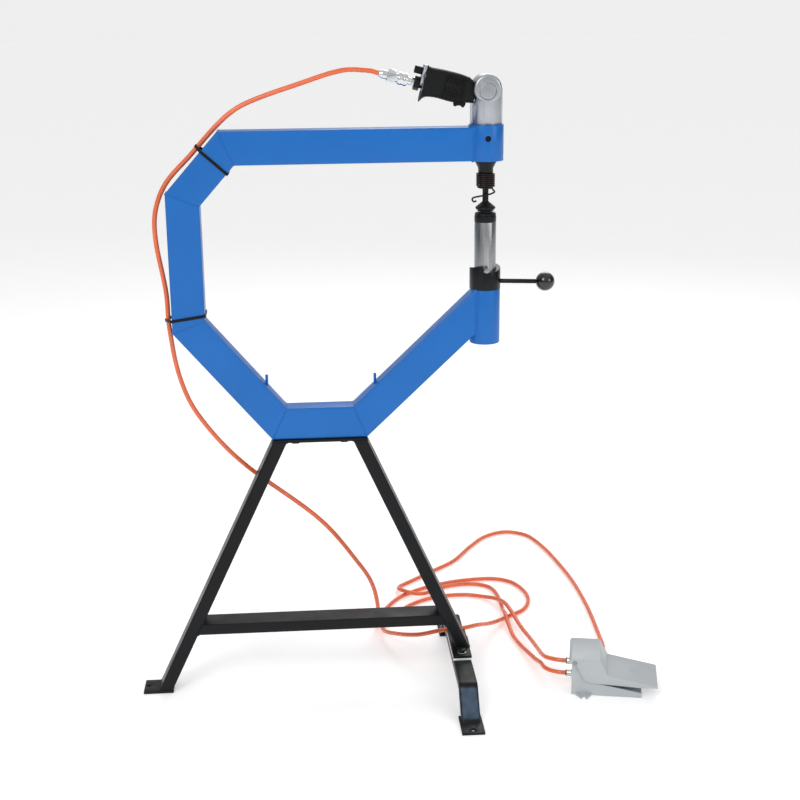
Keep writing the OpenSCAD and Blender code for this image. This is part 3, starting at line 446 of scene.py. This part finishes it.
LEG_W, LEG_D, LEG_ROUND, LEG_BEAD = 22, 46, 3, 1.6
LEG_TOP, REAR_LOW, FRONT_LOW = 463, 4, 65
REAR_RUN = 219                           # of the rear leg along X
BAR_Z, BAR_H, BAR_ROUND, BAR_BEAD = 110, 20, 2.5, 1.5
BAR_D = LEG_D - 0.6                      # the crossbar is this little narrower than the legs
rear_x, front_x = rail_left - REAR_RUN, 16.1
front_run = front_x - rail_right


def level_width(run, rise):
    """A leg's width in a level plane."""
    return LEG_W * math.hypot(run, rise) / rise


rear_cut = level_width(REAR_RUN, LEG_TOP - REAR_LOW)
front_cut = level_width(front_run, LEG_TOP - FRONT_LOW)


def leg_ring(x_outer, width, z):
    """A leg's section in a level plane: width is signed, from the outer face to the inner."""
    return [(x_outer + width * d / LEG_W, y, z) for d, y in rounded(LEG_W, LEG_D, LEG_ROUND)]


def rear_inner(z):
    return rail_left + rear_cut - REAR_RUN * (LEG_TOP - z) / (LEG_TOP - REAR_LOW)


def front_inner(z):
    return rail_right - front_cut + front_run * (LEG_TOP - z) / (LEG_TOP - FRONT_LOW)


for node, low, high in (
        ("rear_leg", (rear_x, rear_cut, REAR_LOW), (rail_left, rear_cut, LEG_TOP)),
        ("front_leg", (front_x, -front_cut, FRONT_LOW), (rail_right, -front_cut, LEG_TOP))):
    finish_piece(loft(node + "_tube", [leg_ring(*low), leg_ring(*high)]), node)
    weld(node + "_low_weld", leg_ring(*low), node, LEG_BEAD)
    weld(node + "_top_weld", leg_ring(*high), node, LEG_BEAD)

bar_section = rounded(BAR_H, BAR_D, BAR_ROUND)
rear_end, front_end = ([(inner(BAR_Z + d), y, BAR_Z + d) for d, y in bar_section]
                       for inner in (rear_inner, front_inner))
finish_piece(loft("crossbar_tube", [rear_end, front_end]), "crossbar")
weld("crossbar_rear_weld", rear_end, "crossbar", BAR_BEAD)
weld("crossbar_front_weld", front_end, "crossbar", BAR_BEAD)

# The foot bar is a channel with rolled bends and rounded lips
FOOT_W, FOOT_H, PAD_H = 33, 56, 4
FLAT_Y, SLOPE_Y = 140, 186               # where the flat top ends, and where the slope does
WEB, WALL, LIP = 4, 3, 14                # thickness of the top and the sides, and their height
BEND_R, BEND_STEPS = 16, 8


def channel():
    """The channel's section (x, depth below the top face)."""
    half, outer_r, inner_r, lip_r = FOOT_W / 2, 4, 2, 0.8
    quarter = [(math.sin(a), math.cos(a)) for a in (math.radians(15 * k) for k in range(7))]
    outer = [(half - outer_r + outer_r * s, outer_r - outer_r * c) for s, c in quarter]
    inner = [(half - WALL - inner_r + inner_r * s, WEB + inner_r - inner_r * c)
             for s, c in quarter]
    edge = [(half, LIP - lip_r), (half - lip_r, LIP),
            (half - WALL + lip_r, LIP), (half - WALL, LIP - lip_r)]
    side = outer + edge + inner[::-1]
    return side + [(-x, d) for x, d in side[::-1]]


def bar_stations():
    """The bar's top line (y, z) with its slope, round the two bends."""
    turn = math.atan2(FOOT_H - PAD_H, SLOPE_Y - FLAT_Y)
    bend_y = FLAT_Y - BEND_R * math.tan(turn / 2)
    half = [(0, FOOT_H, 0), (bend_y, FOOT_H, 0)]
    for k in range(1, BEND_STEPS + 1):
        a = turn * k / BEND_STEPS
        half.append((bend_y + BEND_R * math.sin(a), FOOT_H - BEND_R + BEND_R * math.cos(a), a))
    half.append((SLOPE_Y, PAD_H, turn))
    return [(-y, z, -a) for y, z, a in half[:0:-1]] + half


bar_rings = []
for y, z, a in bar_stations():
    if abs(y) == SLOPE_Y:                # the ends are cut level, flush with the pads' top
        bar_rings.append([(x, y - math.copysign(d / abs(math.sin(a)), y), z)
                          for x, d in channel()])
    else:
        bar_rings.append([(x, y - d * math.sin(a), z - d * math.cos(a)) for x, d in channel()])
foot_bar = finish_piece(loft("foot_bar_channel", bar_rings), "front_foot_bar")
# The foot bar's paint carries the painted blue-grey sheen, a painted reflection, on its slopes
foot_bar.data.materials[0] = MATERIALS["black_paint_painted_sheen"]

# Grip --------------------------------------------------------------------------

HANDLE_TILT = math.radians(15)
HANDLE_Z = beam_z + 106                  # height of the handle's line at the hammer's axis
GRIP_SIDES, GRIP_STEP = 220, 0.62
SQUARENESS = 3.2                         # exponent of the grip's section, 2 being round
RIB_S, RIB_SPREAD, RIB_H = 33.5, 1.3, 0.9
FLANK = 0.55                             # share of the half width beyond which the flanks lie
PANEL_START, PANEL_END = 39, 71
BORDER_W, BORDER_H, BORDER_GAP = 1.6, 0.7, 0.6
DIAMOND, DIAMOND_SLANT, GROOVE = 5.6, 0.62, 0.15
DIAMOND_H, PANEL_SUNK = 1.0, 0.25
SLOT_S, SLOT_T = 39, -28                 # middle of the trigger's slot
SLOT_SIZE = (20.4, 10.8, 24.4)           # along, across and in height


def on_handle(s, t, y):
    """The place of s along the handle, t above its line and y aside."""
    return (AXIS_X - s * math.cos(HANDLE_TILT) + t * math.sin(HANDLE_TILT), y,
            HANDLE_Z + s * math.sin(HANDLE_TILT) + t * math.cos(HANDLE_TILT))


GRIP = [  # s, lowest t, highest t, half width
    (19, -19.2, 13.0, 14.6), (26, -20.6, 16.0, 16.2), (33, -22.2, 18.6, 17.1),
    (42, -24.3, 20.4, 17.4), (52, -25.9, 21.0, 17.5), (64, -26.0, 21.0, 17.5),
    (77, -25.6, 20.8, 17.5), (88, -26.6, 20.0, 17.5), (96, -28.6, 19.4, 17.7),
    (100.5, -32.0, 20.0, 18.4), (103, -36.0, 21.0, 19.1), (104.6, -38.6, 21.7, 19.4)]


def grip_at(s):
    """Smooth values between the rows of GRIP."""
    i = max(k for k in range(len(GRIP) - 1) if GRIP[k][0] <= s + 1e-9)
    a, b = GRIP[i], GRIP[i + 1]
    before, after = GRIP[max(i - 1, 0)], GRIP[min(i + 2, len(GRIP) - 1)]
    span = b[0] - a[0]
    f = min(1, (s - a[0]) / span)
    out = []
    for k in (1, 2, 3):
        m0 = (b[k] - before[k]) / (b[0] - before[0]) * span
        m1 = (after[k] - a[k]) / (after[0] - a[0]) * span
        out.append((2 * f**3 - 3 * f**2 + 1) * a[k] + (f**3 - 2 * f**2 + f) * m0
                   + (3 * f**2 - 2 * f**3) * b[k] + (f**3 - f**2) * m1)
    return out


def relief(s, t, side):
    """Height of the moulding: a rib all round, and a bordered panel of diamonds on each flank."""
    height = RIB_H * math.exp(-((s - RIB_S) / RIB_SPREAD) ** 2)
    if side < FLANK:
        return height
    low, high = -19.5 - 0.02 * s, 11.5 + 0.04 * s  # the panel widens away from the hammer
    inside = min(s - PANEL_START, PANEL_END - s, t - low, high - t)
    if -BORDER_W < inside < 0:
        return height + BORDER_H
    if inside >= BORDER_GAP:
        rows = ((s + DIAMOND_SLANT * t) / DIAMOND, (s - DIAMOND_SLANT * t) / DIAMOND)
        on_diamond = min(abs(u - round(u)) for u in rows) > GROOVE
        return height + (DIAMOND_H if on_diamond else 0) - PANEL_SUNK
    return height


def grip_ring(s):
    """The grip's section at s, a rounded square with the moulding on it."""
    low, high, half = grip_at(s)
    mid, tall = (low + high) / 2, (high - low) / 2
    ring = []
    for k in range(GRIP_SIDES):
        a = 2 * math.pi * k / GRIP_SIDES
        y, t = (math.copysign(math.sqrt(abs(v)), v) for v in (math.cos(a), math.sin(a)))
        size = (abs(y) ** SQUARENESS + abs(t) ** SQUARENESS) ** (1 / SQUARENESS)
        y, t = y / max(1, size), t / max(1, size)
        lift = relief(s, mid + tall * t, abs(y))
        ring.append(on_handle(s, mid + (tall + lift * abs(t)) * t, (half + lift * abs(y)) * y))
    return ring


start, end = GRIP[0][0], GRIP[-1][0]
grip = loft("grip_rubber_sleeve", [grip_ring(start + k * GRIP_STEP)
                                   for k in range(int((end - start) / GRIP_STEP) + 1)])
slot_box = bmesh.new()
bmesh.ops.create_cube(slot_box, size=1)
for v in slot_box.verts:
    s, y, t = (c * size for c, size in zip(v.co, SLOT_SIZE))
    v.co = Vector(on_handle(SLOT_S + s, SLOT_T + t, y)) * MM
slot_cut = piece_from(slot_box, "slot_cut")
bpy.context.scene.collection.objects.link(slot_cut)
bpy.context.scene.collection.objects.link(grip)
modifier = grip.modifiers.new("slot", "BOOLEAN")
modifier.operation, modifier.object, modifier.solver = "DIFFERENCE", slot_cut, "EXACT"
bpy.context.view_layer.update()
with_slot = grip.evaluated_get(bpy.context.evaluated_depsgraph_get())
cut_mesh = bpy.data.meshes.new_from_object(with_slot)
grip.modifiers.clear()
grip.data = cut_mesh
bpy.data.objects.remove(slot_cut)
finish_piece(grip, "grip_sleeve")

# Springs -----------------------------------------------------------------------

PEDAL_X, PEDAL_Y, PEDAL_TURN = 185.7, -95.2, math.radians(-12)
SPRING_S, SPRING_M = 98, 43
SPRING_FOOT, SPRING_TOP = 4, 31
SPRING_TURNS, SPRING_R, SPRING_WIRE_R, SPRING_STEPS = 5, 6.2, 0.8, 32


def on_pedal(s, m, z):
    """The place of s along the foot valve and m across it."""
    c, d = math.cos(PEDAL_TURN), math.sin(PEDAL_TURN)
    return (PEDAL_X + s * c - m * d, PEDAL_Y + s * d + m * c, z)


coil = []
coil_foot, coil_top = SPRING_FOOT + SPRING_WIRE_R + 0.1, SPRING_TOP - SPRING_WIRE_R
for i in range(SPRING_TURNS * SPRING_STEPS + 1):
    a = 2 * math.pi * i / SPRING_STEPS
    z = coil_foot + (coil_top - coil_foot) * i / (SPRING_TURNS * SPRING_STEPS)
    coil.append(on_pedal(SPRING_S + SPRING_R * math.cos(a), SPRING_M + SPRING_R * math.sin(a), z))
spring = finish_piece(tube_mesh("pedal_spring_wire", coil, SPRING_WIRE_R), "pedal_spring")
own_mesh(spring)

RETAINER_TURNS, RETAINER_R, RETAINER_PITCH, RETAINER_STEPS = 7.5, 14.3, 3.2, 36
RETAINER_DROP = 21.5                     # from the beam's underside to the first turn
NARROW_FROM, NARROWING = 6.5, 3.2        # the last turn draws in
RETAINER_WIRE_R = 1.5

retainer = []
for i in range(int(RETAINER_TURNS * RETAINER_STEPS) + 1):
    turn = i / RETAINER_STEPS
    a = 2 * math.pi * turn + math.pi
    r = RETAINER_R - max(0, turn - NARROW_FROM) * NARROWING
    retainer.append(Vector((AXIS_X + r * math.cos(a), r * math.sin(a),
                            beam_z - RETAINER_DROP - RETAINER_PITCH * turn)))
# The wire's tail crosses in front of the die and ends in a hook
tail = [Vector((AXIS_X + x, y, beam_z + z)) for x, y, z in (
    (13, 5, -49.5), (14.6, -3, -52), (8, -8.2, -54.6), (-4, -9, -57), (-20, -8.2, -60),
    (-23, -8, -63.5), (-20.5, -7.6, -67), (-16, -7.4, -65.8))]


def curved(points, steps=8):
    """Points on a smooth line through the given ones."""
    out = []
    for i in range(len(points) - 1):
        a, b = points[i], points[i + 1]
        before, after = points[max(i - 1, 0)], points[min(i + 2, len(points) - 1)]
        for k in range(steps):
            f = k / steps
            out.append(0.5 * (2 * a + (b - before) * f
                              + (2 * before - 5 * a + 4 * b - after) * f * f
                              + (3 * a - before - 3 * b + after) * f**3))
    return out + [points[-1]]


line = retainer[:-1] + curved([retainer[-1]] + tail)
finish_piece(tube_mesh("retainer_wire", line, RETAINER_WIRE_R, 14), "retainer_spring")

# Hoses -------------------------------------------------------------------------

HOSE_R = 0.004
HOSE_LOW = 0.0042                        # lowest the centre line may come

MAIN_POINTS = [
    (-0.1327, 0, 1.0758), (-0.148, 0, 1.0799), (-0.19, 0, 1.081), (-0.26, 0, 1.061),
    (-0.35, 0, 1.03), (-0.387, 0, 1.005), (-0.44, 0, 0.95), (-0.482, 0, 0.905),
    (-0.501, 0, 0.86), (-0.503, 0, 0.812), (-0.491, 0, 0.725), (-0.489, 0, 0.665),
    (-0.478, 0.018, 0.575), (-0.452, 0.028, 0.505), (-0.383, 0.034, 0.416),
    (-0.245, 0.06, 0.289), (-0.172, 0.105, 0.177), (-0.15, 0.13, 0.128), (-0.139, 0.155, 0.072),
    (-0.138, 0.176, 0.034), (-0.138, 0.196, 0.011), (-0.134, 0.23, 0.0042),
    (-0.11, 0.297, 0.0042), (-0.072, 0.35, 0.0042), (0.007, 0.397, 0.0042),
    (0.105, 0.415, 0.0042), (0.151, 0.397, 0.0042), (0.174, 0.35, 0.0042), (0.177, 0.3, 0.0042),
    (0.16, 0.256, 0.0042), (0.124, 0.224, 0.0046), (0.082, 0.163, 0.022), (0.044, 0.096, 0.051),
    (0.014, 0.066, 0.0606), (-0.024, 0.061, 0.0606), (-0.07, 0.068, 0.05),
    (-0.116, 0.134, 0.024), (-0.128, 0.175, 0.012), (-0.121, 0.218, 0.0046),
    (-0.094, 0.262, 0.0042), (-0.06, 0.303, 0.0042), (-0.01, 0.332, 0.0042),
    (0.05, 0.338, 0.0042), (0.09, 0.32, 0.006), (0.111, 0.292, 0.013), (0.123, 0.26, 0.018),
    (0.131, 0.226, 0.015), (0.14, 0.165, 0.011), (0.147, 0.092, 0.02), (0.1495, 0.019, 0.034),
    (0.1496, -0.008, 0.04), (0.1509, -0.0284, 0.045), (0.1528, -0.0381, 0.0475),
    (0.159, -0.0498, 0.0503), (0.1688, -0.0586, 0.0518), (0.1772, -0.0625, 0.052),
    (0.18376, -0.06413, 0.052)]
LOOP_POINTS = [
    (0.18376, -0.06413, 0.028), (0.1772, -0.0625, 0.028), (0.1688, -0.0586, 0.0278),
    (0.159, -0.0498, 0.0268), (0.1528, -0.0381, 0.0252), (0.1509, -0.0284, 0.0238),
    (0.149, -0.008, 0.021), (0.143, 0.02, 0.0155), (0.123, 0.125, 0.005), (0.118, 0.18, 0.01),
    (0.116, 0.212, 0.018), (0.1165, 0.235, 0.012), (0.118, 0.262, 0.0055), (0.119, 0.3, 0.0042),
    (0.11, 0.364, 0.0042), (0.085, 0.387, 0.0042), (0.045, 0.391, 0.0042),
    (0.005, 0.376, 0.005), (-0.028, 0.348, 0.007), (-0.0498, 0.3402, 0.01),
    (-0.0668, 0.3448, 0.0128), (-0.0792, 0.3572, 0.012), (-0.0838, 0.3742, 0.008),
    (-0.0792, 0.3912, 0.005), (-0.07, 0.402, 0.0043), (-0.047, 0.424, 0.0042),
    (-0.01, 0.46, 0.0042), (0.046, 0.515, 0.0042), (0.096, 0.598, 0.0042),
    (0.14, 0.655, 0.0042), (0.192, 0.674, 0.0042), (0.238, 0.635, 0.0042),
    (0.278, 0.45, 0.0042), (0.29, 0.285, 0.0042), (0.286, 0.11, 0.0042), (0.282, 0.068, 0.0046),
    (0.266, 0.036, 0.008), (0.249, 0.01, 0.0125), (0.24517, -0.00776, 0.013)]


def hose(name, points, node):
    """A free hose as a curve through its route's points."""
    data = bpy.data.curves.new(name, "CURVE")
    data.dimensions = "3D"
    data.bevel_depth = HOSE_R
    data.bevel_resolution = 6
    data.resolution_u = 10
    data.use_fill_caps = True
    spline = data.splines.new("BEZIER")
    spline.bezier_points.add(len(points) - 1)
    line = [Vector(p) for p in points]
    for i, (b, p) in enumerate(zip(spline.bezier_points, line)):
        before, after = line[max(i - 1, 0)], line[min(i + 1, len(line) - 1)]
        along = (after - before).normalized()
        b.handle_left_type = b.handle_right_type = "FREE"
        b.co = p
        b.handle_left = p - along * (p - before).length / 3
        b.handle_right = p + along * (after - p).length / 3
        for handle in (b.handle_left, b.handle_right):
            handle.z = max(handle.z, HOSE_LOW)
    return finish_piece(bpy.data.objects.new(name, data), node)


main = hose("hose_main_line", MAIN_POINTS, "hose_main")
loop = hose("hose_loop_line", LOOP_POINTS, "hose_loop")

# Hard parts with their edges broken ---------------------------------------------

# Width of the rounding in mm, and the nodes that have it
EDGES = {
    1.0: "upper_holder anvil_socket",
    1.3: "pedal_cover pedal_base",
    0.8: "stand_top_plate rear_foot_plate front_leg_plate foot_pads",
    0.5: "leg_shim foot_bolts frame_bolts hammer_housing head_plug handle_end_plate trigger "
         "cam_collar lower_die upper_die hammer_cylinder inlet_bushing valve_body cable_ties",
    0.35: "die_pegs foot_washers foot_nuts regulator_knob coupler_nipple coupler_body "
          "coupler_sleeve hose_nut anvil_post cross_pin handle_rod pedal_pin port_fittings "
          "release_rings holder_screw",
}
for width, names in EDGES.items():
    for node in names.split():
        soften(node, width)

# The thin shim's zinc is drawn nearly white, a painted highlight for the light its edge catches,
# whiter than the other zinc parts
bpy.data.objects["leg_shim_soft"].data.materials[0] = MATERIALS["zinc_with_painted_highlight"]

# Floor and light ---------------------------------------------------------------

FLOOR_R, FLOOR_DROP = 40, 0.0005
BACKDROP = 0.86                          # brightness of the seamless backdrop in the picture

floor_mesh = bmesh.new()
bmesh.ops.create_circle(floor_mesh, cap_ends=True, segments=64, radius=FLOOR_R)
floor = piece_from(floor_mesh, "floor")
floor.location.z = -FLOOR_DROP
bpy.context.scene.collection.objects.link(floor)
floor.data.materials.append(material(
    "floor", (246, 246, 246), 0.75, vary=0.01, grain=(40, 0.0001),
    extra={"Emission Color": (1, 1, 1, 1), "Emission Strength": 0.3}))

world = bpy.data.worlds.new("world")
bpy.context.scene.world = world
world.use_nodes = True
g = Graph(world)
toward = g.add("SeparateXYZ", {0: g.add("TexCoord").outputs["Generated"]}).outputs
overhead = g.span(toward["Z"], -0.2, 0.7, 0.42, 0.72)
# Darker flanks give the round metal parts their dark edges
flanks = g.span(g.maths("ABSOLUTE", toward["X"]), 0.55, 0.95, 1.0, 0.25)
seen = g.add("LightPath").outputs["Is Camera Ray"]
strength = g.blend(seen, g.maths("MULTIPLY", overhead, flanks), BACKDROP, "FLOAT")
g.put(g.nodes["Background"], "Color", (1, 1, 1, 1))
g.put(g.nodes["Background"], "Strength", strength)


def softbox(name, place, target, size, power):
    """A square lamp at a place, turned to a target."""
    lamp = bpy.data.objects.new(name, bpy.data.lights.new(name, "AREA"))
    lamp.data.size = size
    lamp.data.energy = power
    lamp.location = place
    lamp.rotation_mode = "QUATERNION"
    lamp.rotation_quaternion = (Vector(place) - Vector(target)).to_track_quat("Z", "Y")
    bpy.context.scene.collection.objects.link(lamp)


softbox("key", (-1.8, -2.6, 2.9), target=(-0.2, 0, 0.6), size=1.6, power=42)
softbox("fill", (2.4, -2.0, 1.8), target=(-0.1, 0, 0.6), size=1.4, power=18)
softbox("rim", (0.6, 2.6, 2.6), target=(-0.2, 0, 0.7), size=1.8, power=26)
